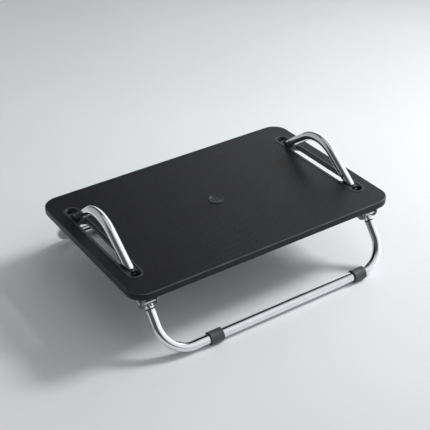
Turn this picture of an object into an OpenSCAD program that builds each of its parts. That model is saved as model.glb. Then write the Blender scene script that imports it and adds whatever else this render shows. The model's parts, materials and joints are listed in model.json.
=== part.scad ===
// Low free-standing step: a slab deck on two folding U-shaped tube legs,
// with a fold-down tube grip over a hand slot at each short end.
// Origin: floor level, under the centre of the deck. +X along the deck, +Y to the back, +Z up.

/* [Deck] */
// Length of the deck
deck_w = 600; // [560:1:680]
// Depth of the deck, front to back
deck_d = 395; // [380:1:440]
// Thickness of the deck
deck_t = 15.5; // [15:0.5:20]
// Height of the tread above the floor
deck_top = 140; // [130:1:160]
// Corner radius of the deck in plan
corner_r = 35; // [30:1:50]
// Chamfer along the deck's top and bottom edges
edge_c = 1.5; // [0.5:0.5:2.5]

/* [Leg frames] */
// Outside diameter of the leg and grip tube
tube_d = 19; // [18:0.5:20]
// Wall of the tube
tube_wall = 1.5; // [1:0.1:2]
// Slant of the open legs from the vertical
splay = 38; // [34:1:40]
// Centreline radius of the leg bends
bend_r = 58; // [50:1:65]
// Distance of each leg tube from the deck's middle
leg_x = 260; // [250:1:265]
// Distance of the leg hinges from the deck's middle
hinge_y = 162; // [160:1:170]
// Depth of the leg hinge pins below the tread
hinge_drop = 39; // [38:0.5:42]
// Outside diameter of the rubber collars
collar_d = 26; // [24:0.5:30]
// Length of a rubber collar
collar_len = 29; // [20:1:32]
// Places along X of the two collars on each frame
collar_x = [-157, 187];

/* [Grips] */
// Distance of each grip from the deck's middle
grip_x = 262; // [255:1:265]
// Distance between a grip's feet at tread level, tube centre to centre
grip_span = 208; // [204:1:212]
// Centreline radius of the grip's top
grip_r = 76; // [70:1:82]

/* [Bezels] */
// Width of the bezel around each hand slot
bezel_w = 32; // [30:1:34]
// Length of the bezel
bezel_len = 288; // [284:1:292]
// Width of the raised rim
rim_w = 4; // [3:0.5:4]
// Height of the rim above the tread
rim_h = 0.8; // [0.6:0.1:1]
// Width of the hand slot
slot_w = 18; // [16:1:19]
// Length of the hand slot
slot_len = 175; // [160:1:175]

/* [Hidden] */
$fn = 64;
LEFT = -1;
RIGHT = 1;
FRONT = -1;
BACK = 1;
through = 1;      // how far a cutter runs past the face it cuts
gap = 0.1;        // clearance between pieces that are fixed side by side
side_gap = 0.3;   // clearance between flat faces that turn past each other
press_gap = 0.02; // clearance between round pieces that are pressed or screwed together
run_gap = 0.05;   // radial clearance of a pin that turns in its hole

// Deck
deck_bottom = deck_top - deck_t;
cap_r = 16;
cap_h = 1.2;
cap_seat = 1.6;
cap_stem_r = 4;
cap_stem_len = 9;

// Bezel, measured from the tread
flange_t = 1.2;                        // depth of the flange below the tread
bezel_depth = 8;                       // depth of the bezel's underside below the tread
bezel_body_w = bezel_w - 7.4;
bezel_body_len = bezel_len - 7.4;
land_z = -rim_h;                       // level of the land inside the rim
bridge_in = slot_len / 2;              // bridge between hand slot and end well
bridge_out = 124;
well_r = 10;
well_c = 129.5;                        // centre of the well's round end
flare_w = 19;                          // half width of the hand slot at the deck's underside
slot_corner_r = 4;

// Grip and its hinge
grip_slope = atan(3 / 4);               // the grip's legs rise 3 for every 4 along
tube_r = tube_d / 2;
bore_r = tube_r - tube_wall;
foot_r = tube_r + side_gap;            // radius to which the grip's feet are rounded about the hinge
grip_pivot_h = foot_r + rim_h + 0.4;   // height of the grip's hinge above the tread
pivot_span = grip_span / 2 - grip_pivot_h / tan(grip_slope);
foot_end = 116;                        // the feet are cut square here
arc_centre_h = pivot_span * tan(grip_slope) - grip_r / cos(grip_slope);
arc_end_y = grip_r * sin(grip_slope);
arc_end_h = arc_centre_h + grip_r * cos(grip_slope);
leg_run = 96;                          // straight leg of the grip before its foot is trimmed
strap_t = 2.5;
strap_w = 16;
lip_w = 8;
lip_drop = 3;                          // depth of the strap's turned-up lip below the tread
lug_t = 3;
lug_y = 91;                            // inner face of the upright lug
lug_r = 4.5;
grip_pin_r = 2.5;
grip_pin_in = 78;
grip_pin_out = 97.5;
plug_len = 46;
bezel_screw_y = 118;
screw_r = 2.5;
nut_flange_r = 7;
nut_flange_t = 1.2;
nut_barrel_r = 3.5;

// Leg hinge, measured from its pin
pivot_z = deck_top - hinge_drop;
under_h = hinge_drop - deck_t;         // deck underside above the pin
leg_len = (pivot_z - collar_d / 2) / cos(splay);
plate_w = 60;
plate_d = 40;
plate_t = 3;
ear_in = 13;
ear_t = 3;
ear_r = 18;
ear_c = 5;                             // height of the ear's round end above the pin
leg_pin_r = 4;
pin_head_r = 6.5;
pin_head_t = 2.5;
block_half = 3;                        // half thickness of the friction block
block_r = 10;
block_stem_w = 18;
tenon = [5, 12];
fork_slot_half = block_half + side_gap;
fork_slot_s = 15;                      // depth of the fork's slot below the pin
fork_shoulder_s = 18;
fork_heel_r = tube_r + 0.5;
seal_t = 2.5;
tube_start_s = fork_shoulder_s + seal_t;
spigot_len = 26;
washer_r = 9;
stop_r = 2.5;
stop_s = 6;                            // how far below the pin the stop meets the fork
stop_off = sqrt(pow(tube_r, 2) - pow(fork_slot_half, 2)) + stop_r + run_gap;
stop_y = stop_s * sin(splay) + stop_off * cos(splay);
stop_h = stop_off * sin(splay) - stop_s * cos(splay);
screw_dx = 23;
screw_dy = 13;
insert_r = 3.5;
insert_len = 10;
head_r = 4.75;
head_h = 3;
clip_t = 1;
clip_r = 6.5;

function cut_rect(w, h, c) = [
    [-w / 2 + c, -h / 2], [w / 2 - c, -h / 2], [w / 2, -h / 2 + c], [w / 2, h / 2 - c],
    [w / 2 - c, h / 2], [-w / 2 + c, h / 2], [-w / 2, h / 2 - c], [-w / 2, -h / 2 + c]
];

// ---- shared shapes ----

module stadium(w, len) {
    square([w, len - w], center = true);
    for (s = [-1, 1])
        translate([0, s * (len - w) / 2])
            circle(d = w);
}

module round_rect(w, d, r) {
    square([w - 2 * r, d], center = true);
    square([w, d - 2 * r], center = true);
    for (sx = [-1, 1], sy = [-1, 1])
        translate([sx * (w / 2 - r), sy * (d / 2 - r)])
            circle(r);
}

module slab(z0, z1) {
    translate([0, 0, z0])
        linear_extrude(z1 - z0)
            children();
}

// Lays a flat outline, drawn as (Y, Z), across X from x0 to x1
module across(x0, x1) {
    translate([x0, 0, 0])
        rotate([90, 0, 90])
            linear_extrude(x1 - x0)
                children();
}

// Lays a flat outline, drawn as (X, Z), along Y from y0 to y1
module along(y0, y1) {
    translate([0, y1, 0])
        rotate([90, 0, 0])
            linear_extrude(y1 - y0)
                children();
}

module pipe(len) {
    difference() {
        cylinder(h = len, r = tube_r);
        translate([0, 0, -through])
            cylinder(h = len + 2 * through, r = bore_r);
    }
}

module pipe_bend(r, angle) {
    rotate_extrude(angle = angle, $fn = 128)
        translate([r, 0])
            difference() {
                circle(tube_r);
                circle(bore_r);
            }
}

module chamfered_disc(r, h, c) {
    rotate_extrude()
        polygon([[0, 0], [r - c, 0], [r, c], [r, h - c], [r - c, h], [0, h]]);
}

// A screw standing on z = 0 with its head below: shank up, hexagon socket in the head
module screw(shank, head_rad, head_height) {
    difference() {
        union() {
            cylinder(h = shank, r = screw_r);
            translate([0, 0, -head_height])
                chamfered_disc(head_rad, head_height, 0.6);
        }
        translate([0, 0, -head_height - through])
            cylinder(h = through + 1.8, r = 1.8, $fn = 6);
    }
}

// ---- places ----

module on_tread(side) {
    translate([side * grip_x, 0, deck_top])
        children();
}

// Children are drawn for a foot at the back; mirrored for the front one
module at_foot(side, end) {
    on_tread(side)
        mirror([0, end == FRONT ? 1 : 0, 0])
            children();
}

// Children are drawn at the front left hinge, origin on its pin
module at_hinge(end, side) {
    mirror([side == RIGHT ? 1 : 0, 0, 0])
        mirror([0, end == BACK ? 1 : 0, 0])
            translate([-leg_x, -hinge_y, pivot_z])
                children();
}

module at_every_hinge() {
    for (end = [FRONT, BACK], side = [LEFT, RIGHT])
        at_hinge(end, side)
            children();
}

// Leg frame's own space: pin line on X, legs pointing down -Z. The back frame is the front one turned round.
module on_frame(end) {
    rotate([0, 0, end == BACK ? 180 : 0])
        translate([0, -hinge_y, pivot_z])
            rotate([-splay, 0, 0])
                children();
}

// ---- deck ----

module deck_blank() {
    straight_w = deck_w - 2 * corner_r;
    straight_d = deck_d - 2 * corner_r;
    translate([0, 0, deck_top - deck_t / 2]) {
        across(-straight_w / 2, straight_w / 2)
            polygon(cut_rect(deck_d, deck_t, edge_c));
        along(-straight_d / 2, straight_d / 2)
            polygon(cut_rect(deck_w, deck_t, edge_c));
    }
    for (sx = [-1, 1], sy = [-1, 1])
        translate([sx * straight_w / 2, sy * straight_d / 2, deck_bottom])
            chamfered_disc(corner_r, deck_t, edge_c);
}

module hand_slot_flare() {
    top_w = bezel_body_w / 2 + 0.2;
    half = [[-top_w, -bezel_depth - gap], [-flare_w, -deck_t - through],
        [flare_w, -deck_t - through], [top_w, -bezel_depth - gap]];
    straight = bridge_in + 2 - top_w;
    along(-straight, straight)
        polygon(half);
    for (s = [-1, 1])
        translate([0, s * straight, -deck_t - through])
            cylinder(h = deck_t + through - bezel_depth - gap, r1 = flare_w, r2 = top_w);
}

module deck_end_cutout() {
    slab(-flange_t, through)
        stadium(bezel_w + 0.4, bezel_len + 0.4);
    slab(-bezel_depth - gap, 0)
        stadium(bezel_body_w + 0.4, bezel_body_len + 0.4);
    hand_slot_flare();
    for (s = [-1, 1]) {
        slab(-deck_t - through, -bezel_depth)
            translate([0, s * (well_c - 1)])
                stadium(2 * well_r + 1, 2 * well_r + 3);
        slab(-bezel_depth - strap_t - gap, -bezel_depth)
            translate([0, s * (lug_y - gap + 18)])
                square([strap_w + 2 * gap, 36], center = true);
        translate([0, s * bezel_screw_y, -deck_t - through]) {
            cylinder(h = deck_t, r = nut_barrel_r + press_gap);
            cylinder(h = nut_flange_t + gap + through, r = nut_flange_r + gap);
        }
    }
}

module deck_board() {
    color([0.15, 0.15, 0.16])
        difference() {
            deck_blank();
            for (side = [LEFT, RIGHT])
                on_tread(side)
                    deck_end_cutout();
            at_every_hinge()
                for (sx = [-1, 1], sy = [-1, 1])
                    translate([sx * screw_dx, sy * screw_dy, under_h - through])
                        cylinder(h = insert_len + through + 0.5, r = insert_r + press_gap);
            translate([0, 0, deck_top - cap_seat])
                cylinder(h = cap_seat + through, r = cap_r + gap);
            translate([0, 0, deck_top - cap_seat - cap_stem_len - 0.5])
                cylinder(h = cap_stem_len + through, r = cap_stem_r + press_gap);
        }
}

module centre_cap() {
    color([0.13, 0.13, 0.14])
        translate([0, 0, deck_top])
            rotate_extrude()
                polygon([
                    [0, -cap_seat - cap_stem_len], [cap_stem_r - 0.8, -cap_seat - cap_stem_len],
                    [cap_stem_r, -cap_seat - cap_stem_len + 0.8], [cap_stem_r, -cap_seat],
                    [cap_r, -cap_seat], [cap_r, cap_h - 0.5], [cap_r - 0.5, cap_h],
                    [cap_r - 2.5, cap_h], [cap_r - 3.2, cap_h - 0.6], [0, cap_h - 0.6]
                ]);
}

// ---- bezel and grip ----

module bezel() {
    difference() {
        union() {
            slab(-flange_t, rim_h)
                stadium(bezel_w, bezel_len);
            slab(-bezel_depth, -flange_t)
                stadium(bezel_body_w, bezel_body_len);
        }
        slab(land_z, rim_h + through)
            stadium(bezel_w - 2 * rim_w, bezel_len - 2 * rim_w);
        slab(-bezel_depth - through, rim_h)
            round_rect(slot_w, slot_len, slot_corner_r);
        for (s = [-1, 1]) {
            slab(-bezel_depth - through, rim_h) {
                translate([0, s * well_c])
                    circle(well_r);
                translate([0, s * (bridge_out + well_c) / 2])
                    square([2 * well_r, well_c - bridge_out], center = true);
                translate([0, s * (lug_y + lug_t / 2)])
                    square([2 * (lug_r + gap), lug_t + 2 * gap], center = true);
            }
            translate([0, s * bezel_screw_y, -bezel_depth - through])
                cylinder(h = bezel_depth + through, r = screw_r + gap);
        }
    }
}

module left_bezel() {
    color([0.2, 0.2, 0.21])
        on_tread(LEFT)
            bezel();
}

module right_bezel() {
    color([0.2, 0.2, 0.21])
        on_tread(RIGHT)
            bezel();
}

// Steel strap under the bezel's bridge: the lug that carries the grip, a base, and a lip up into the well
module strap() {
    difference() {
        union() {
            translate([-strap_w / 2, lug_y, -bezel_depth - strap_t])
                cube([strap_w, bridge_out + gap + strap_t - lug_y, strap_t]);
            translate([-lip_w / 2, bridge_out + gap, -bezel_depth])
                cube([lip_w, strap_t, bezel_depth - lip_drop]);
            along(lug_y, lug_y + lug_t) {
                translate([0, grip_pivot_h])
                    circle(lug_r);
                translate([-lug_r, -bezel_depth])
                    square([2 * lug_r, bezel_depth + grip_pivot_h]);
            }
        }
        translate([0, lug_y - through, grip_pivot_h])
            rotate([-90, 0, 0])
                cylinder(h = lug_t + 2 * through, r = grip_pin_r + run_gap);
        translate([0, bezel_screw_y, -bezel_depth - strap_t - through])
            cylinder(h = strap_t + 2 * through, r = nut_barrel_r + gap);
    }
}

module strap_at(side, end) {
    color([0.8, 0.8, 0.82])
        at_foot(side, end)
            strap();
}

module bezel_screws() {
    color([0.35, 0.35, 0.37])
        for (side = [LEFT, RIGHT], end = [FRONT, BACK])
            at_foot(side, end)
                translate([0, bezel_screw_y, land_z])
                    mirror([0, 0, 1])
                        screw(deck_t + land_z - nut_flange_t - 1, 4.2, 1.8);
}

module bezel_nuts() {
    color([0.6, 0.6, 0.62])
        for (side = [LEFT, RIGHT], end = [FRONT, BACK])
            at_foot(side, end)
                translate([0, bezel_screw_y, -deck_t])
                    difference() {
                        union() {
                            cylinder(h = nut_flange_t, r = nut_flange_r);
                            cylinder(h = deck_t - bezel_depth - gap, r = nut_barrel_r);
                        }
                        translate([0, 0, -through])
                            cylinder(h = deck_t, r = screw_r + press_gap);
                    }
}

// Space in which a grip's feet may have metal: everything above the hinge line, and a round foot about it
module foot_trim() {
    along(-foot_end, foot_end) {
        translate([-2 * tube_r, 0])
            square([4 * tube_r, 80]);
        circle(foot_r);
    }
}

// Clearance that the strap's lug needs as the grip folds from upright down towards +X
module lug_sweep(fold_to) {
    r = lug_r + side_gap;
    reach = 2 * tube_r;
    mirror([fold_to < 0 ? 1 : 0, 0, 0])
        along(lug_y - side_gap, lug_y + lug_t + side_gap) {
            circle(r);
            translate([-r, -reach])
                square([r + reach, reach]);
            translate([0, -reach])
                square([reach, reach + r]);
        }
}

module grip_leg_line() {
    translate([0, arc_end_y, arc_end_h])
        rotate([-90 - grip_slope, 0, 0])
            children();
}

// Drawn about the hinge line; the grip folds towards the deck's middle
module grip_tube(side) {
    difference() {
        intersection() {
            union() {
                translate([0, 0, arc_centre_h])
                    rotate([90, 0, 90])
                        rotate([0, 0, 90 - grip_slope])
                            pipe_bend(grip_r, 2 * grip_slope);
                for (end = [FRONT, BACK])
                    mirror([0, end == FRONT ? 1 : 0, 0])
                        grip_leg_line()
                            pipe(leg_run);
            }
            foot_trim();
        }
        for (end = [FRONT, BACK])
            mirror([0, end == FRONT ? 1 : 0, 0]) {
                lug_sweep(-side);
                rotate([-90, 0, 0])
                    cylinder(h = grip_pin_out, r = grip_pin_r + press_gap);
            }
    }
}

module grip_plug(side) {
    difference() {
        intersection() {
            grip_leg_line()
                translate([0, 0, leg_run - plug_len - 12])
                    cylinder(h = plug_len + 12, r = bore_r - press_gap);
            foot_trim();
        }
        lug_sweep(-side);
        rotate([-90, 0, 0])
            cylinder(h = grip_pin_out, r = grip_pin_r + press_gap);
    }
}

module grip_pin() {
    translate([0, grip_pin_in, 0])
        rotate([-90, 0, 0])
            chamfered_disc(grip_pin_r, grip_pin_out - grip_pin_in, 0.4);
}

module at_grip(side, end) {
    at_foot(side, end)
        translate([0, 0, grip_pivot_h])
            children();
}

module grip_tube_at(side) {
    color([0.85, 0.86, 0.88])
        on_tread(side)
            translate([0, 0, grip_pivot_h])
                grip_tube(side);
}

module plug_at(side, end) {
    color([0.3, 0.3, 0.31])
        at_grip(side, end)
            grip_plug(side);
}

module grip_pin_at(side, end) {
    color([0.75, 0.75, 0.77])
        at_grip(side, end)
            grip_pin();
}

// ---- leg hinges ----

module ear_outline() {
    difference() {
        union() {
            translate([0, ear_c])
                circle(ear_r);
            translate([-ear_r, ear_c])
                square([2 * ear_r, under_h - plate_t - ear_c]);
        }
        circle(leg_pin_r + press_gap);
        translate([-stop_y, stop_h])
            circle(stop_r + press_gap);
    }
}

module bracket() {
    for (s = [-1, 1])
        across(s * (ear_in + ear_t / 2) - ear_t / 2, s * (ear_in + ear_t / 2) + ear_t / 2)
            ear_outline();
    difference() {
        slab(under_h - plate_t, under_h)
            round_rect(plate_w, plate_d, 6);
        for (sx = [-1, 1], sy = [-1, 1])
            translate([sx * screw_dx, sy * screw_dy, 0])
                cylinder(h = under_h + through, r = screw_r + gap);
        slab(under_h - plate_t - through, under_h + through)
            square([tenon.x + 2 * gap, tenon.y + 2 * gap], center = true);
    }
}

module bracket_at(end, side) {
    color([0.8, 0.81, 0.83])
        at_hinge(end, side)
            bracket();
}

// Nylon block in the fork's slot, which grips the fork and holds the folded leg
module block_at(end, side) {
    color([0.08, 0.08, 0.08])
        at_hinge(end, side) {
            across(-block_half, block_half)
                difference() {
                    union() {
                        circle(block_r);
                        translate([-block_stem_w / 2, 0])
                            square([block_stem_w, under_h - plate_t]);
                    }
                    circle(leg_pin_r + press_gap);
                }
            slab(under_h - plate_t, under_h)
                square(tenon, center = true);
        }
}

module leg_pin_at(end, side) {
    pin_end = ear_in + ear_t + 3;
    color([0.78, 0.78, 0.8])
        at_hinge(end, side)
            rotate([0, 90, 0])
                difference() {
                    union() {
                        translate([0, 0, -ear_in - ear_t])
                            cylinder(h = ear_in + ear_t + pin_end, r = leg_pin_r);
                        translate([0, 0, -ear_in - ear_t - pin_head_t])
                            chamfered_disc(pin_head_r, pin_head_t, 0.8);
                    }
                    translate([0, 0, ear_in + ear_t + gap])
                        difference() {
                            cylinder(h = clip_t + gap, r = leg_pin_r + through);
                            cylinder(h = clip_t + gap, r = leg_pin_r - 1);
                        }
                }
}

module pin_clips() {
    color([0.3, 0.3, 0.32])
        at_every_hinge()
            translate([ear_in + ear_t + gap, 0, 0])
                rotate([90, 0, 90])
                    linear_extrude(clip_t)
                        difference() {
                            circle(clip_r);
                            circle(leg_pin_r - 1 + press_gap);
                            translate([0, -clip_r])
                                square([4.5, 2 * clip_r], center = true);
                        }
}

module hinge_washers() {
    inner = tube_r + gap;
    outer = ear_in - gap;
    color([0.1, 0.1, 0.1])
        at_every_hinge()
            for (x0 = [inner, -outer])
                across(x0, x0 + outer - inner)
                    difference() {
                        circle(washer_r);
                        circle(leg_pin_r + run_gap);
                    }
}

module stop_pins() {
    half = ear_in + ear_t;
    color([0.6, 0.6, 0.62])
        at_every_hinge()
            translate([-half, -stop_y, stop_h])
                rotate([0, 90, 0])
                    chamfered_disc(stop_r, 2 * half, 0.4);
}

module bracket_screws() {
    color([0.7, 0.7, 0.72])
        at_every_hinge()
            for (sx = [-1, 1], sy = [-1, 1])
                translate([sx * screw_dx, sy * screw_dy, under_h - plate_t])
                    screw(plate_t + insert_len - 2, head_r, head_h);
}

module bracket_inserts() {
    color([0.75, 0.65, 0.35])
        at_every_hinge()
            for (sx = [-1, 1], sy = [-1, 1])
                translate([sx * screw_dx, sy * screw_dy, under_h])
                    difference() {
                        cylinder(h = insert_len, r = insert_r);
                        translate([0, 0, -through])
                            cylinder(h = insert_len + 2 * through, r = screw_r + press_gap);
                    }
}

// ---- leg frames ----

module leg_tube_at(end) {
    color([0.85, 0.86, 0.88])
        on_frame(end) {
            for (s = [-1, 1])
                mirror([s > 0 ? 1 : 0, 0, 0]) {
                    translate([-leg_x, 0, -leg_len + bend_r])
                        pipe(leg_len - bend_r - tube_start_s);
                    translate([-leg_x + bend_r, 0, -leg_len + bend_r])
                        rotate([90, 0, 0])
                            rotate([0, 0, 180])
                                pipe_bend(bend_r, 90);
                }
            translate([-leg_x + bend_r, 0, -leg_len])
                rotate([0, 90, 0])
                    pipe(2 * (leg_x - bend_r));
        }
}

// Chromed fork pressed into the top of a leg
module fork() {
    difference() {
        union() {
            intersection() {
                translate([0, 0, -fork_shoulder_s])
                    cylinder(h = fork_shoulder_s + 2 * tube_r, r = tube_r);
                across(-2 * tube_r, 2 * tube_r) {
                    circle(fork_heel_r);
                    translate([-2 * tube_r, -2 * fork_shoulder_s])
                        square([4 * tube_r, 2 * fork_shoulder_s]);
                }
            }
            translate([0, 0, -fork_shoulder_s - spigot_len])
                chamfered_disc(bore_r - press_gap, spigot_len + 0.5, 1);
        }
        translate([-fork_slot_half, -2 * tube_r, -fork_slot_s])
            cube([2 * fork_slot_half, 4 * tube_r, fork_slot_s + 2 * tube_r]);
        across(-2 * tube_r, 2 * tube_r)
            circle(leg_pin_r + run_gap);
    }
}

module fork_at(end, side) {
    color([0.83, 0.84, 0.86])
        on_frame(end)
            translate([side * leg_x, 0, 0])
                fork();
}

module leg_seals_at(end) {
    color([0.06, 0.06, 0.06])
        on_frame(end)
            for (s = [-1, 1])
                translate([s * leg_x, 0, -fork_shoulder_s - seal_t])
                    difference() {
                        cylinder(h = seal_t, r = tube_r - 0.4);
                        translate([0, 0, -through])
                            cylinder(h = seal_t + 2 * through, r = bore_r);
                    }
}

module collar_at(end, x) {
    r = collar_d / 2;
    c = 1.2;
    color([0.27, 0.28, 0.29])
        on_frame(end)
            translate([x - collar_len / 2, 0, -leg_len])
                rotate([0, 90, 0])
                    rotate_extrude()
                        polygon([
                            [tube_r + press_gap, 0], [r - c, 0], [r, c],
                            [r, collar_len - c], [r - c, collar_len], [tube_r + press_gap, collar_len]
                        ]);
}

deck_board();
centre_cap();
left_bezel();
right_bezel();
strap_at(LEFT, FRONT);  // left_front_strap
strap_at(LEFT, BACK);  // left_back_strap
strap_at(RIGHT, FRONT);  // right_front_strap
strap_at(RIGHT, BACK);  // right_back_strap
bezel_screws();
bezel_nuts();
grip_tube_at(LEFT);  // left_grip_tube
plug_at(LEFT, FRONT);  // left_front_plug
plug_at(LEFT, BACK);  // left_back_plug
grip_pin_at(LEFT, FRONT);  // left_front_grip_pin
grip_pin_at(LEFT, BACK);  // left_back_grip_pin
grip_tube_at(RIGHT);  // right_grip_tube
plug_at(RIGHT, FRONT);  // right_front_plug
plug_at(RIGHT, BACK);  // right_back_plug
grip_pin_at(RIGHT, FRONT);  // right_front_grip_pin
grip_pin_at(RIGHT, BACK);  // right_back_grip_pin
bracket_at(FRONT, LEFT);  // front_left_bracket
bracket_at(FRONT, RIGHT);  // front_right_bracket
bracket_at(BACK, LEFT);  // back_left_bracket
bracket_at(BACK, RIGHT);  // back_right_bracket
block_at(FRONT, LEFT);  // front_left_block
block_at(FRONT, RIGHT);  // front_right_block
block_at(BACK, LEFT);  // back_left_block
block_at(BACK, RIGHT);  // back_right_block
leg_pin_at(FRONT, LEFT);  // front_left_leg_pin
leg_pin_at(FRONT, RIGHT);  // front_right_leg_pin
leg_pin_at(BACK, LEFT);  // back_left_leg_pin
leg_pin_at(BACK, RIGHT);  // back_right_leg_pin
hinge_washers();
pin_clips();
stop_pins();
bracket_screws();
bracket_inserts();
leg_tube_at(FRONT);  // front_leg_tube
fork_at(FRONT, LEFT);  // front_left_fork
fork_at(FRONT, RIGHT);  // front_right_fork
leg_seals_at(FRONT);  // front_leg_seals
collar_at(FRONT, collar_x[0]);  // front_left_collar
collar_at(FRONT, collar_x[1]);  // front_right_collar
leg_tube_at(BACK);  // back_leg_tube
fork_at(BACK, RIGHT);  // back_left_fork
fork_at(BACK, LEFT);  // back_right_fork
leg_seals_at(BACK);  // back_leg_seals
collar_at(BACK, -collar_x[0]);  // back_left_collar
collar_at(BACK, -collar_x[1]);  // back_right_collar
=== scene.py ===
"""Looks of the low folding step: swept tubes, turned collars and cap, materials, studio and camera."""

import json
import math

import bmesh
import bpy
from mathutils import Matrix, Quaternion, Vector

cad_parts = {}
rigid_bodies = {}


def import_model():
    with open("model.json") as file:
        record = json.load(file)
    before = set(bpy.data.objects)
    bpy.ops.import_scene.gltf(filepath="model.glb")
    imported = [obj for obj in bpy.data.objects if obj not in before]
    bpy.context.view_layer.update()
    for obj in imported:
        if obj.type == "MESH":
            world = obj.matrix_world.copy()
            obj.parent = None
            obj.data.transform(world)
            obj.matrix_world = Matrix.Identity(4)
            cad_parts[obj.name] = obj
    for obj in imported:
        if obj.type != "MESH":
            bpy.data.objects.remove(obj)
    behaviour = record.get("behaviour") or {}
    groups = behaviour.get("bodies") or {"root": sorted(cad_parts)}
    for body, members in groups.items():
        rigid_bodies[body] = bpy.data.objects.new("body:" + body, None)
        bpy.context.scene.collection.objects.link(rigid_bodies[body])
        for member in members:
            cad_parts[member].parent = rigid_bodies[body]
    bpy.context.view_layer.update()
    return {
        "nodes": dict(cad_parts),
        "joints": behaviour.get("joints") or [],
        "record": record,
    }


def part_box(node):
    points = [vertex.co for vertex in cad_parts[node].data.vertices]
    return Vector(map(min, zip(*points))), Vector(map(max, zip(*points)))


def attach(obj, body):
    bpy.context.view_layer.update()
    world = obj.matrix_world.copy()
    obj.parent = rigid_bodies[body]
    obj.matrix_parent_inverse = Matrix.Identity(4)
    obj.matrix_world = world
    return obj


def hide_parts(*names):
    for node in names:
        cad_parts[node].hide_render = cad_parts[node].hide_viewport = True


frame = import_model()

MM = 0.001
X, Y, Z = Vector((1, 0, 0)), Vector((0, 1, 0)), Vector((0, 0, 1))
ROUND = 96                   # sides of a swept or turned piece
BEND_STEPS = 40              # rings round a bend
SHARP = math.radians(35)     # faces that meet at more than this show an edge
EDGE_ROUND = 0.35 * MM       # broken edge on the hard parts
WELD_GAP = 0.002 * MM

TUBE_WALL = 1.5 * MM
TUBE_END_ROUND = 0.3 * MM
LEG_BEND_R = 58 * MM
GRIP_BEND_R = 76 * MM
GRIP_SLOPE = math.atan2(3, 4)
FOOT_GAP = 0.3 * MM          # clearance round each lug, and the feet's rounding past the tube's radius
LUG_Y = 91 * MM              # inner face of the lug that a foot closes round
LUG_T = 3 * MM
LUG_R = 4.5 * MM
TRIM_ROOM = 5 * MM           # how far the cutter that trims the feet reaches above the grip
FOOT_SPARE = 15 * MM         # how far the grip's legs run past its feet until they are trimmed

COLLAR_BORE_R = 9.55 * MM
COLLAR_BORE_ROUND = 0.6 * MM
COLLAR_LIP_ROUND = 1.3 * MM
COLLAR_BEAD = 3.2 * MM       # length of the bead at each end
COLLAR_DIP = 0.25 * MM       # depth of the sleeve's middle below the beads

CAP_STEM_R = 4 * MM
CAP_STEM_CHAMFER = 0.8 * MM
CAP_CORE_R = 0.5 * MM        # disc that closes the stem's foot
CAP_FLANGE_T = 2.8 * MM
CAP_ROUND = 0.6 * MM
CAP_FACE_DEPTH = 0.55 * MM   # depth of the face below the rim
CAP_DISH = 0.3 * MM          # further depth at the face's middle

joints = {j["name"]: j for j in frame["joints"]}


# ---- mesh code ----

def to_object(name, bm):
    mesh = bpy.data.meshes.new(name)
    bm.to_mesh(mesh)
    bm.free()
    obj = bpy.data.objects.new(name, mesh)
    bpy.context.scene.collection.objects.link(obj)
    return obj


def smooth(obj):
    obj.data.shade_smooth()
    obj.data.set_sharp_from_angle(angle=SHARP)


def add_piece(name, bm, material, body, *stands_for):
    """Makes an object of the mesh, smooth up to sharp edges, that rides the body in place of CAD nodes."""
    bmesh.ops.recalc_face_normals(bm, faces=bm.faces)
    obj = to_object(name, bm)
    smooth(obj)
    obj.data.materials.append(material)
    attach(obj, body)
    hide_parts(*stands_for)
    return obj


def add_ring(bm, centre, side, up, radius):
    """Vertices on the circle about centre, in the plane of side and up."""
    turns = (2 * math.pi * k / ROUND for k in range(ROUND))
    return [bm.verts.new(centre + radius * (math.cos(a) * side + math.sin(a) * up)) for a in turns]


def join_rings(bm, rings, closed=True):
    """Faces between each ring and the next; closed also joins the last ring to the first."""
    pairs = list(zip(rings, rings[1:]))
    if closed:
        pairs.append((rings[-1], rings[0]))
    for low, high in pairs:
        for k in range(ROUND):
            n = (k + 1) % ROUND
            bm.faces.new((low[k], low[n], high[n], high[k]))


def filleted_path(corners, radius):
    """(point, direction) pairs along straight lines between the corners, with a bend at each inner corner."""
    path = [(corners[0], (corners[1] - corners[0]).normalized())]
    for before, corner, after in zip(corners, corners[1:], corners[2:]):
        way_in = (corner - before).normalized()
        way_out = (after - corner).normalized()
        turn = way_in.angle(way_out)
        inward = (way_out - way_in).normalized()
        centre = corner + inward * (radius / math.cos(turn / 2))
        axis = way_in.cross(way_out).normalized()
        start = corner - way_in * (radius * math.tan(turn / 2)) - centre
        for k in range(BEND_STEPS + 1):
            rotation = Quaternion(axis, turn * k / BEND_STEPS)
            path.append((centre + rotation @ start, rotation @ way_in))
    path.append((corners[-1], (corners[-1] - corners[-2]).normalized()))
    return path


def swept_tube(corners, bend_radius, radius):
    """A hollow tube along the filleted path, the outer edges of its ends broken."""
    path = filleted_path(corners, bend_radius)
    side = (corners[1] - corners[0]).cross(corners[2] - corners[1]).normalized()
    edge = TUBE_END_ROUND
    (first, first_way), (last, last_way) = path[0], path[-1]
    stations = [(first, first_way, radius - edge), (first + first_way * edge, first_way, radius)]
    stations += [(p, d, radius) for p, d in path[1:-1]]
    stations += [(last - last_way * edge, last_way, radius), (last, last_way, radius - edge)]
    stations += [(p, d, radius - TUBE_WALL) for p, d in reversed(path)]
    bm = bmesh.new()
    join_rings(bm, [add_ring(bm, p, side, side.cross(d), r) for p, d, r in stations])
    return bm


def turned(profile, centre, axis, side):
    """A sleeve whose wall has the closed (radius, distance along axis) profile."""
    bm = bmesh.new()
    join_rings(bm, [add_ring(bm, centre + axis * h, side, axis.cross(side), r) for r, h in profile])
    return bm


def arc(cx, cy, radius, start, end, steps=8):
    """Points of a circular arc, the angles in degrees."""
    angles = (math.radians(start + (end - start) * k / steps) for k in range(steps + 1))
    return [(cx + radius * math.cos(a), cy + radius * math.sin(a)) for a in angles]


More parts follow.
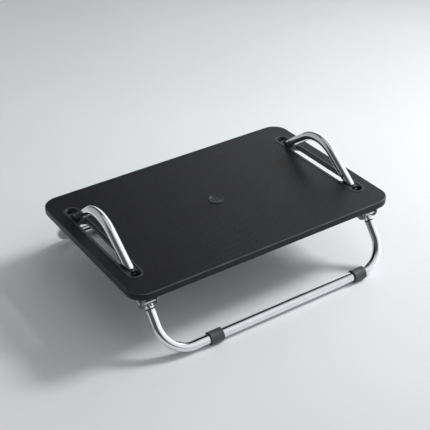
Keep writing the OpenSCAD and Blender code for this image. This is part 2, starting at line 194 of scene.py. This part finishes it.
def prism(name, outline, origin, y0, y1):
    """A cutter: the (x, z) outline about origin, drawn out along Y from y0 to y1."""
    bm = bmesh.new()
    ends = [[bm.verts.new(origin + Vector((x, y, z))) for x, z in outline] for y in (y0, y1)]
    bm.faces.new(ends[0])
    bm.faces.new(list(reversed(ends[1])))
    count = len(outline)
    for k in range(count):
        n = (k + 1) % count
        bm.faces.new((ends[0][n], ends[0][k], ends[1][k], ends[1][n]))
    bmesh.ops.recalc_face_normals(bm, faces=bm.faces)
    return to_object(name, bm)


def cut(obj, cutter, operation):
    """Applies an exact boolean to obj's mesh and removes the cutter."""
    modifier = obj.modifiers.new("cut", "BOOLEAN")
    modifier.object = cutter
    modifier.operation = operation
    modifier.solver = "EXACT"
    graph = bpy.context.evaluated_depsgraph_get()
    mesh = bpy.data.meshes.new_from_object(obj.evaluated_get(graph), depsgraph=graph)
    obj.modifiers.remove(modifier)
    obj.data = mesh
    bpy.data.objects.remove(cutter)


def soften(node):
    """Welds a CAD node's faces together and breaks its sharp edges."""
    obj = frame["nodes"][node]
    weld = obj.modifiers.new("weld", "WELD")
    weld.merge_threshold = WELD_GAP
    bevel = obj.modifiers.new("edge", "BEVEL")
    bevel.limit_method = "ANGLE"
    bevel.angle_limit = math.radians(40)
    bevel.width = EDGE_ROUND
    bevel.segments = 2
    bevel.use_clamp_overlap = True
    bevel.harden_normals = True


# ---- materials ----

WAVE_WIDTH = 2 * math.pi / 20    # width of one band of a wave texture whose scale is 1
WEAVE_PITCH = 4 * MM
WEAVE_DEPTH = 0.2 * MM


class Shader:
    """One procedural material, built round a Principled shader."""

    def __init__(self, name, roughness, metallic=0.0):
        self.material = bpy.data.materials.new(name)
        self.material.use_nodes = True
        self.tree = self.material.node_tree
        self.surface = self.tree.nodes["Principled BSDF"]
        self.surface.inputs["Metallic"].default_value = metallic
        self.surface.inputs["Roughness"].default_value = roughness
        self.place = self.node("ShaderNodeTexCoord").outputs["Object"]
        self.height = None

    def node(self, kind, **settings):
        made = self.tree.nodes.new(kind)
        for key, value in settings.items():
            setattr(made, key, value)
        return made

    def link(self, output, target):
        self.tree.links.new(output, target)

    def noise(self, size, detail=3.0, stretch=(1, 1, 1)):
        """Noise whose features are about size metres across, drawn out along each axis by stretch."""
        mapping = self.node("ShaderNodeMapping")
        mapping.inputs["Scale"].default_value = [1 / (size * s) for s in stretch]
        self.link(self.place, mapping.inputs["Vector"])
        noise = self.node("ShaderNodeTexNoise")
        noise.inputs["Scale"].default_value = 1.0
        noise.inputs["Detail"].default_value = detail
        self.link(mapping.outputs["Vector"], noise.inputs["Vector"])
        return noise.outputs["Fac"]

    def ramp(self, value, low, high, from_low=0.3, from_high=0.7):
        """Value mapped from its own range to numbers between low and high."""
        made = self.node("ShaderNodeMapRange")
        made.inputs["From Min"].default_value = from_low
        made.inputs["From Max"].default_value = from_high
        made.inputs["To Min"].default_value = low
        made.inputs["To Max"].default_value = high
        self.link(value, made.inputs["Value"])
        return made.outputs["Result"]

    def blend(self, factor, first, second):
        """Mixes two colours; either may be an output or a colour."""
        made = self.node("ShaderNodeMix", data_type="RGBA")
        self.link(factor, made.inputs["Factor"])
        for socket, colour in ((made.inputs[6], first), (made.inputs[7], second)):
            if isinstance(colour, bpy.types.NodeSocket):
                self.link(colour, socket)
            else:
                socket.default_value = (*colour, 1)
        return made.outputs[2]

    def math(self, operation, first, second):
        made = self.node("ShaderNodeMath", operation=operation)
        for socket, value in zip(made.inputs, (first, second)):
            if isinstance(value, bpy.types.NodeSocket):
                self.link(value, socket)
            else:
                socket.default_value = value
        return made.outputs[0]

    def colour(self, output):
        self.link(output, self.surface.inputs["Base Color"])

    def roughness(self, output):
        self.link(output, self.surface.inputs["Roughness"])

    def bump(self, height, depth, strength=1.0):
        """Adds relief of the given depth in metres on top of any there already."""
        made = self.node("ShaderNodeBump")
        made.inputs["Strength"].default_value = strength
        made.inputs["Distance"].default_value = depth
        self.link(height, made.inputs["Height"])
        if self.height:
            self.link(self.height, made.inputs["Normal"])
        self.height = made.outputs["Normal"]
        self.link(self.height, self.surface.inputs["Normal"])


def anti_slip_film():
    """Black phenolic film: a woven mesh pressed into the tread, smooth paint on the sides, and a painted
    highlight on the chamfered edges.
    """
    s = Shader("anti_slip_film", 0.5)
    s.surface.inputs["Specular IOR Level"].default_value = 0.28
    normal = s.node("ShaderNodeNewGeometry").outputs["True Normal"]
    split = s.node("ShaderNodeSeparateXYZ")
    s.link(normal, split.inputs[0])
    facing_up = split.outputs["Z"]
    tread = s.ramp(facing_up, 0, 1, 0.95, 0.99)
    tilt = s.math("ABSOLUTE", facing_up, 0)
    chamfer = s.math("MULTIPLY", s.ramp(tilt, 0, 1, 0.3, 0.5), s.ramp(tilt, 1, 0, 0.85, 0.95))
    threads = []
    for turn in (45, -45):
        mapping = s.node("ShaderNodeMapping")
        mapping.inputs["Rotation"].default_value = (0, 0, math.radians(turn))
        s.link(s.place, mapping.inputs["Vector"])
        wave = s.node("ShaderNodeTexWave", wave_type="BANDS", bands_direction="X")
        wave.inputs["Scale"].default_value = WAVE_WIDTH / WEAVE_PITCH
        s.link(mapping.outputs["Vector"], wave.inputs["Vector"])
        threads.append(wave.outputs["Fac"])
    mesh = s.math("MAXIMUM", *threads)
    relief = s.math("MULTIPLY", mesh, tread)
    cloud = s.noise(60 * MM, 4)
    dust = s.noise(1.6 * MM, 2)
    ground = s.blend(s.ramp(cloud, 0, 1), (0.0026, 0.0026, 0.0036), (0.0040, 0.0040, 0.0050))
    dusty = s.math("MULTIPLY", relief, s.ramp(dust, 0.55, 0.85))
    woven = s.blend(dusty, ground, (0.0085, 0.0087, 0.0100))
    # Painted highlight: the chamfered edges, top and bottom, turned lighter grey and broken up by noise.
    painted_edge_highlight = s.math("MULTIPLY", chamfer, s.ramp(s.noise(9 * MM, 3, (3, 3, 1)), 0.45, 0.9))
    s.colour(s.blend(painted_edge_highlight, woven, (0.085, 0.090, 0.098)))
    s.roughness(s.ramp(s.math("ADD", cloud, dust), 0.34, 0.46, 0.7, 1.3))
    s.bump(relief, WEAVE_DEPTH, 0.8)
    s.bump(dust, 0.02 * MM, 0.6)
    return s.material


def moulded_plastic(name, dark, light, roughness, grain):
    """Injection-moulded plastic with a fine spark-eroded grain."""
    s = Shader(name, roughness)
    cloud = s.noise(25 * MM, 3)
    pores = s.noise(grain, 2)
    s.colour(s.blend(s.ramp(cloud, 0, 1), dark, light))
    s.roughness(s.ramp(pores, roughness - 0.06, roughness + 0.08))
    s.bump(pores, 0.04 * MM, 0.6)
    return s.material


def bright_metal(name, colour, roughness, streak):
    """Plated or polished metal: a thin haze, and faint polishing marks drawn out along X by streak."""
    s = Shader(name, roughness, 1.0)
    haze = s.noise(18 * MM, 4)
    marks = s.noise(0.8 * MM, 2, (streak, 1, 1))
    dull = [c * 0.93 for c in colour]
    s.colour(s.blend(s.ramp(haze, 0, 1), dull, colour))
    level = s.math("ADD", s.math("MULTIPLY", haze, 0.6), s.math("MULTIPLY", marks, 0.4))
    s.roughness(s.ramp(level, 0.65 * roughness, 1.35 * roughness))
    s.bump(marks, 0.004 * MM, 0.4)
    return s.material


def rubber(name, dark, light, roughness):
    """Moulded rubber, a little bloomed, with fine pits."""
    s = Shader(name, roughness)
    bloom = s.noise(7 * MM, 4)
    pits = s.noise(0.6 * MM, 3)
    s.colour(s.blend(s.ramp(bloom, 0, 1), dark, light))
    s.roughness(s.ramp(bloom, roughness - 0.08, roughness + 0.08))
    s.bump(pits, 0.06 * MM, 0.5)
    return s.material


film = anti_slip_film()
bezel_plastic = moulded_plastic("bezel_plastic", (0.027, 0.028, 0.031), (0.038, 0.039, 0.043), 0.40, 0.7 * MM)
cap_plastic = moulded_plastic("cap_plastic", (0.013, 0.0135, 0.015), (0.020, 0.021, 0.023), 0.45, 0.9 * MM)
nylon = moulded_plastic("nylon", (0.008, 0.008, 0.009), (0.014, 0.014, 0.015), 0.5, 0.5 * MM)
chrome = bright_metal("chrome", (0.86, 0.87, 0.89), 0.07, 1)
# Plated steel, its colour darkened as painted shade: the brackets and lugs sit in the shade under the deck.
shaded_plated = bright_metal("plated_steel", (0.26, 0.265, 0.275), 0.22, 8)
zinc = bright_metal("zinc_fasteners", (0.66, 0.67, 0.68), 0.30, 1)
black_steel = bright_metal("black_steel", (0.10, 0.10, 0.11), 0.36, 1)
brass = bright_metal("brass", (0.74, 0.58, 0.30), 0.32, 1)
collar_rubber = rubber("collar_rubber", (0.038, 0.040, 0.043), (0.056, 0.059, 0.063), 0.55)
seal_rubber = rubber("seal_rubber", (0.008, 0.008, 0.008), (0.013, 0.013, 0.013), 0.6)

FINISHES = {
    "deck_board": film,
    "black_plastic": cap_plastic,
    "bezel_plastic": bezel_plastic,
    "plated_steel": shaded_plated,
    "fastener_steel": zinc,
    "black_steel": black_steel,
    "brass": brass,
    "black_nylon": nylon,
    "chrome_tube": chrome,
    "seal_rubber": seal_rubber,
    "collar_rubber": collar_rubber,
}
SOFTENED = ("deck_board", "bezel_plastic", "plated_steel", "chrome_tube", "fastener_steel", "black_steel")


# ---- pieces ----

def middle(node):
    low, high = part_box(node)
    return (low + high) / 2


def dress_nodes():
    """Every CAD node takes its slot's finish, and the hard parts get broken edges."""
    for part in frame["record"]["subparts"]:
        node = frame["nodes"][part["node"]]
        slots = node.data.materials
        finish = FINISHES[part["material_slot"]]
        if slots:
            for k in range(len(slots)):
                slots[k] = finish
        else:
            slots.append(finish)
        if part["material_slot"] in SOFTENED:
            soften(part["node"])


def make_leg_frame(end):
    """The U-bent tube between the two forks, from seal to seal."""
    low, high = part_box(f"{end}_leg_tube")
    pivot = Vector(joints[f"{end}_leg_fold"]["pos_m"])
    collar = middle(f"{end}_left_collar")
    half_width = abs(middle(f"{end}_left_fork").x)
    radius = (high.x - low.x) / 2 - half_width
    down = Vector((0, collar.y - pivot.y, collar.z - pivot.z)).normalized()
    start = (high.z - pivot.z - radius * abs(down.y)) / down.z
    top = Vector((0, pivot.y, pivot.z)) + down * start
    bar = Vector((0, collar.y, collar.z))
    side = X * half_width
    corners = [top - side, bar - side, bar + side, top + side]
    bm = swept_tube(corners, LEG_BEND_R, radius)
    obj = add_piece(f"{end}_leg_swept", bm, chrome, f"{end}_leg", f"{end}_leg_tube")


def make_collar(end, side):
    """A moulded rubber sleeve with rounded lips and a shallow bead at each end."""
    node = f"{end}_{side}_collar"
    low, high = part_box(node)
    length = high.x - low.x
    outer = min(high.y - low.y, high.z - low.z) / 2
    lip = COLLAR_LIP_ROUND
    bore = COLLAR_BORE_ROUND
    profile = arc(outer - lip, lip, lip, -90, 0)
    profile += [(outer - COLLAR_DIP, h) for h in (COLLAR_BEAD, length - COLLAR_BEAD)]
    profile += arc(outer - lip, length - lip, lip, 0, 90)
    profile += arc(COLLAR_BORE_R + bore, length - bore, bore, 90, 180, 4)
    profile += arc(COLLAR_BORE_R + bore, bore, bore, 180, 270, 4)
    start = Vector((low.x, (low.y + high.y) / 2, (low.z + high.z) / 2))
    obj = add_piece(f"{end}_{side}_sleeve", turned(profile, start, X, Z), collar_rubber, f"{end}_leg", node)


def make_cap():
    """A flanged cap with a shallow dished face and a fine groove inside its rim."""
    low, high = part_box("centre_cap")
    radius = (high.x - low.x) / 2
    top = high.z
    seat = top - CAP_FLANGE_T
    stem = [(CAP_CORE_R, low.z), (CAP_STEM_R - CAP_STEM_CHAMFER, low.z)]
    stem += [(CAP_STEM_R, low.z + CAP_STEM_CHAMFER), (CAP_STEM_R, seat)]
    rim = [(radius, seat)] + arc(radius - CAP_ROUND, top - CAP_ROUND, CAP_ROUND, 0, 90, 6)
    # Down from the rim to the face and through the groove: mm in from the side, mm below the top
    steps = ((2.3, 0), (2.9, 0.5), (4.4, 0.55), (4.7, 0.8), (5.3, 0.8), (5.6, 0.55))
    rim += [(radius - inset * MM, top - depth * MM) for inset, depth in steps]
    face = [(radius * k / 8, top - CAP_FACE_DEPTH - CAP_DISH * (1 - k / 8) ** 2) for k in (4, 3, 2, 1)]
    bm = bmesh.new()
    foot = Vector(((low.x + high.x) / 2, (low.y + high.y) / 2, 0))
    rings = [add_ring(bm, foot + Z * h, X, Y, r) for r, h in stem + rim + face]
    join_rings(bm, rings, closed=False)
    bm.faces.new(reversed(rings[0]))
    bm.faces.new(rings[-1])
    obj = add_piece("centre_cap_turned", bm, cap_plastic, "deck", "centre_cap")


def trim_feet(obj, hinge, radius, low, high):
    """Rounds the grip's feet about its hinge and cuts off what runs past them, given its CAD box."""
    tall = high.z - hinge.z + TRIM_ROOM
    wide = 2 * radius
    keep = [(wide, 0), (wide, tall), (-wide, tall), (-wide, 0)]
    keep += arc(0, 0, radius + FOOT_GAP, 180, 360, 48)
    cut(obj, prism("keep", keep, hinge, low.y, high.y), "INTERSECT")


def notch_feet(obj, hinge, radius):
    """Cuts the notch that each lug stands in, open below and on the side to which the grip folds."""
    inboard = -math.copysign(1, hinge.x)
    round_r = LUG_R + FOOT_GAP
    reach = 2 * radius
    notch = [(-round_r, -reach), (reach, -reach), (reach, round_r)] + arc(0, 0, round_r, 90, 180, 12)
    notch = [(inboard * x, z) for x, z in notch]
    for y in (LUG_Y - FOOT_GAP, -LUG_Y - LUG_T - FOOT_GAP):
        cut(obj, prism("notch", notch, hinge, y, y + LUG_T + 2 * FOOT_GAP), "DIFFERENCE")


def make_grip(side):
    """The arched grip tube, its legs sloping down to the feet."""
    node = f"{side}_grip_tube"
    low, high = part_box(node)
    hinge = Vector(joints[f"{side}_grip_fold"]["pos_m"])
    radius = (high.x - low.x) / 2
    apex = high.z - radius + GRIP_BEND_R * (1 / math.cos(GRIP_SLOPE) - 1)
    far = high.y + FOOT_SPARE
    drop = far * math.tan(GRIP_SLOPE)
    corners = [Vector((hinge.x, y, apex - h)) for y, h in ((-far, drop), (0, 0), (far, drop))]
    bm = swept_tube(corners, GRIP_BEND_R, radius)
    obj = add_piece(f"{side}_grip_swept", bm, chrome, f"{side}_grip", node)
    trim_feet(obj, hinge, radius, low, high)
    notch_feet(obj, hinge, radius)
    smooth(obj)


dress_nodes()
for end in ("front", "back"):
    make_leg_frame(end)
    for side in ("left", "right"):
        make_collar(end, side)
for side in ("left", "right"):
    make_grip(side)
make_cap()


# ---- studio ----

FLOOR_HALF = 6
FLOOR_SHADES = (0.76, 0.775, 0.785), (0.79, 0.805, 0.815)

KEY_PLACE = Vector((3.52, -0.66, 2.65))
KEY_TARGET = Vector((0.65, -0.05, 0))
KEY_SIZE = 1.0
KEY_SPREAD = math.radians(50)
KEY_POWER = 14.2
KEY_COLOUR = (0.98, 0.99, 1.0)

# Each glow: where its middle lies, the cosines of its edge and its core, the levels outside and at the core
WORLD_GLOWS = (
    ((0.975, 0.137, -0.174), 0.46, 0.60, 0.075, 1.35),    # bright side of the room, low on the right
    ((0.80, -0.15, 0.58), 0.95, 0.985, 0.0, 0.7),         # face of the key light
    ((0.46, -0.71, 0.54), 0.75, 0.93, 0.0, 0.80),         # front right
    ((0.15, 0.00, 1.00), 0.80, 0.95, 0.0, 0.46),          # overhead
    ((-0.60, 0.75, 0.25), 0.62, 0.90, 0.0, 0.36),         # back left
)
WORLD_TINT = (0.97, 0.985, 1.0, 1)

CAMERA_AZIMUTH = math.radians(-32.80)
CAMERA_ELEVATION = math.radians(32.45)
CAMERA_ROLL = math.radians(-1.19)
CAMERA_AIM = (-33.7 * MM, -47.8 * MM)    # point of the tread that it looks at
CAMERA_DISTANCE = 2.0192
CAMERA_LENS = 85.4                       # mm, on a sensor 36 mm wide
SENSOR_WIDTH = 36


def make_floor():
    bm = bmesh.new()
    bmesh.ops.create_grid(bm, x_segments=8, y_segments=8, size=FLOOR_HALF)
    floor = to_object("floor", bm)
    s = Shader("floor", 0.55)
    s.colour(s.blend(s.ramp(s.noise(0.5, 2), 0, 1), *FLOOR_SHADES))
    floor.data.materials.append(s.material)


def keep_off(light, finishes):
    """Stops the light from reaching the pieces in these finishes, which show the room's glows instead."""
    spared = bpy.data.collections.new("spared")
    for piece in bpy.context.scene.objects:
        if piece.type == "MESH" and any(m in finishes for m in piece.data.materials):
            spared.objects.link(piece)
    for entry in spared.collection_objects:
        entry.light_linking.link_state = "EXCLUDE"
    light.light_linking.receiver_collection = spared


def make_key_light():
    data = bpy.data.lights.new("key", "AREA")
    data.size = KEY_SIZE
    data.spread = KEY_SPREAD
    data.energy = KEY_POWER
    data.color = KEY_COLOUR
    key = bpy.data.objects.new("key", data)
    bpy.context.scene.collection.objects.link(key)
    key.location = KEY_PLACE
    key.rotation_mode = "QUATERNION"
    key.rotation_quaternion = (KEY_PLACE - KEY_TARGET).to_track_quat("Z", "Y")
    keep_off(key, (chrome, shaded_plated))


def make_world():
    """A dim room whose light is the sum of the glows."""
    world = bpy.data.worlds.new("studio")
    bpy.context.scene.world = world
    world.use_nodes = True
    tree = world.node_tree
    background = tree.nodes["Background"]
    background.inputs["Color"].default_value = WORLD_TINT
    direction = tree.nodes.new("ShaderNodeTexCoord").outputs["Generated"]
    total = None
    for middle_way, edge, core, dim, bright in WORLD_GLOWS:
        dot = tree.nodes.new("ShaderNodeVectorMath")
        dot.operation = "DOT_PRODUCT"
        dot.inputs[1].default_value = Vector(middle_way).normalized()
        tree.links.new(direction, dot.inputs[0])
        level = tree.nodes.new("ShaderNodeMapRange")
        level.interpolation_type = "SMOOTHSTEP"
        for name, value in (("From Min", edge), ("From Max", core), ("To Min", dim), ("To Max", bright)):
            level.inputs[name].default_value = value
        tree.links.new(dot.outputs["Value"], level.inputs["Value"])
        if total is None:
            total = level.outputs["Result"]
        else:
            add = tree.nodes.new("ShaderNodeMath")
            tree.links.new(total, add.inputs[0])
            tree.links.new(level.outputs["Result"], add.inputs[1])
            total = add.outputs[0]
    tree.links.new(total, background.inputs["Strength"])


def make_camera():
    """A long lens that looks down at the tread from the front left."""
    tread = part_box("deck_board")[1].z
    target = Vector((*CAMERA_AIM, tread))
    level = math.cos(CAMERA_ELEVATION)
    back = Vector((
        math.sin(CAMERA_AZIMUTH) * level,
        -math.cos(CAMERA_AZIMUTH) * level,
        math.sin(CAMERA_ELEVATION),
    ))
    data = bpy.data.cameras.new("camera")
    data.lens = CAMERA_LENS
    data.sensor_width = SENSOR_WIDTH
    camera = bpy.data.objects.new("camera", data)
    bpy.context.scene.collection.objects.link(camera)
    camera.location = target + back * CAMERA_DISTANCE
    camera.rotation_mode = "QUATERNION"
    camera.rotation_quaternion = back.to_track_quat("Z", "Y") @ Quaternion(Z, CAMERA_ROLL)
    bpy.context.scene.camera = camera


bpy.context.scene.view_settings.view_transform = "Standard"
make_floor()
make_world()
make_key_light()
make_camera()
